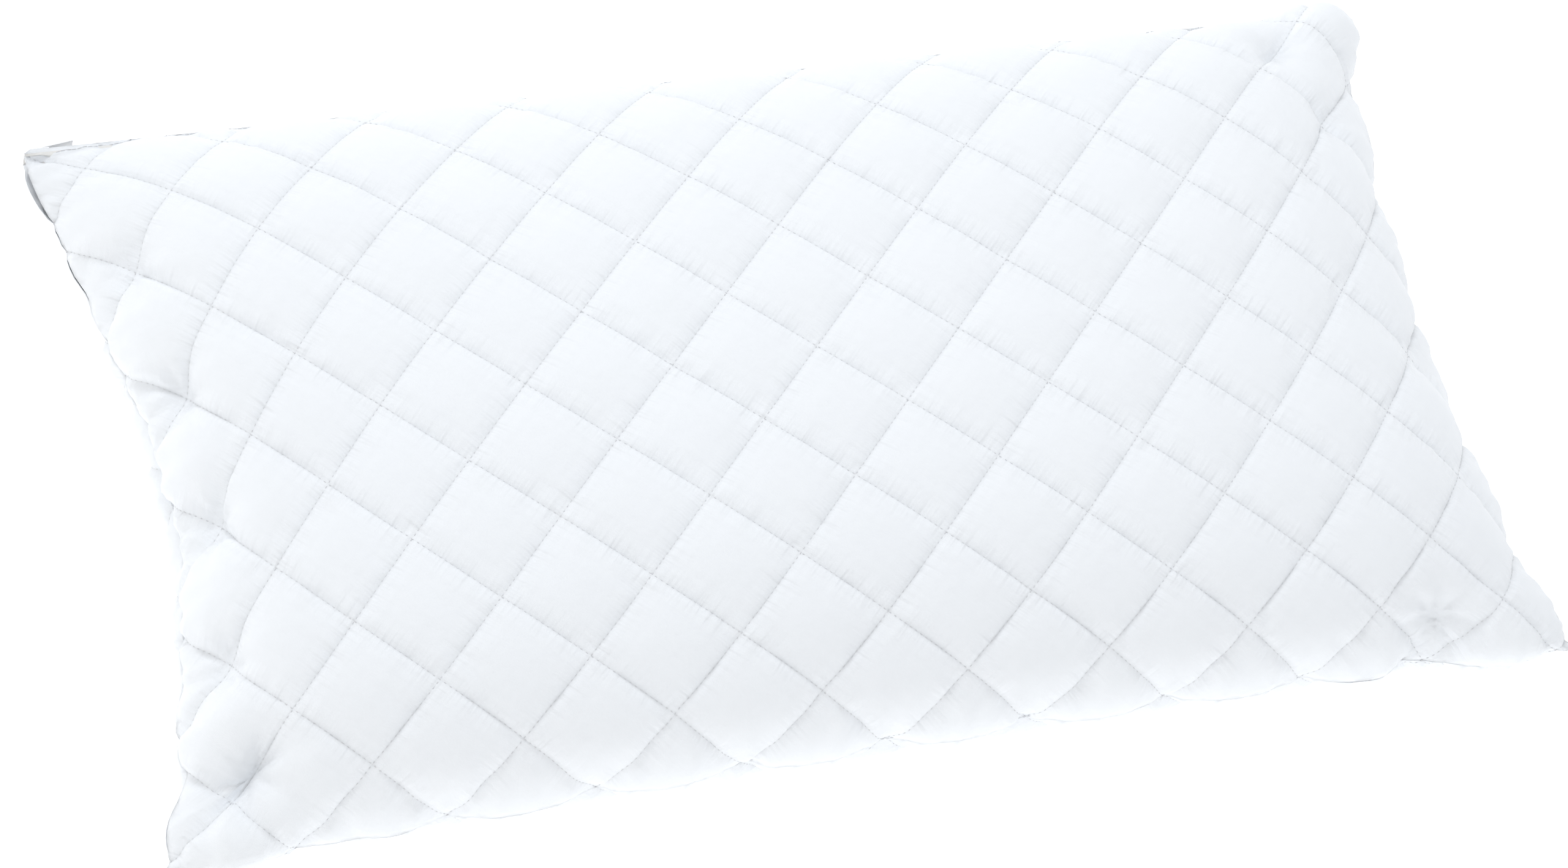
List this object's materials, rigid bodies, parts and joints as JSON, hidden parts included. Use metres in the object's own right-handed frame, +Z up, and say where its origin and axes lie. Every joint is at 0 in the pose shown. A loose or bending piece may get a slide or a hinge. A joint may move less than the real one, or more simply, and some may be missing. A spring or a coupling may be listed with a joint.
{
  "type": "bed pillow",
  "caption": "Rectangular bed pillow in a diamond-quilted white cover, with a coil zip along one long edge, its slider at one corner, and an inner stuffed cushion.",
  "frame": {"origin": "on the resting surface, under the middle of the pillow's bounding box", "axes": "+X along the zip, from the slider's closed end; +Y out of the zipped back edge; +Z up"},
  "size_m": [0.79, 0.4453, 0.12],
  "materials": {
    "quilted_cotton": "matte",
    "wadding": "matte",
    "backing_gauze": "matte",
    "ticking": "matte",
    "stuffing": "matte",
    "sewing_thread": "satin",
    "zip_tape": "matte",
    "nylon_coil": "satin",
    "slider_metal": "satin"
  },
  "bodies": {
    "cushion": {"face_upper": "quilted_cotton", "face_lower": "quilted_cotton", "batting_upper": "wadding", "batting_lower": "wadding", "backing_upper": "backing_gauze", "backing_lower": "backing_gauze", "ticking_upper": "ticking", "ticking_lower": "ticking", "fibre_core": "stuffing", "side_seam_thread": "sewing_thread", "quilting_thread_upper": "sewing_thread", "quilting_thread_lower": "sewing_thread", "zip_topstitch_upper": "sewing_thread", "zip_topstitch_lower": "sewing_thread", "zip_bar_tack_left": "sewing_thread", "zip_bar_tack_right": "sewing_thread", "zip_tape_upper": "zip_tape", "zip_tape_lower": "zip_tape", "zip_coil_upper": "nylon_coil", "zip_coil_lower": "nylon_coil"},
    "slider": {"zip_slider_body": "slider_metal"},
    "pull": {"zip_pull_tab": "slider_metal"}
  },
  "joints": [
    {"name": "zip_slide", "type": "slide", "parent": "cushion", "child": "slider", "axis": [1, 0, 0], "range_m": [0, 0.7694]},
    {"name": "pull_hinge", "type": "hinge", "parent": "slider", "child": "pull", "pos_m": [-0.3847, 0.21955, 0.06], "axis": [0, 0, 1], "range_deg": [-8, 150]}
  ]
}
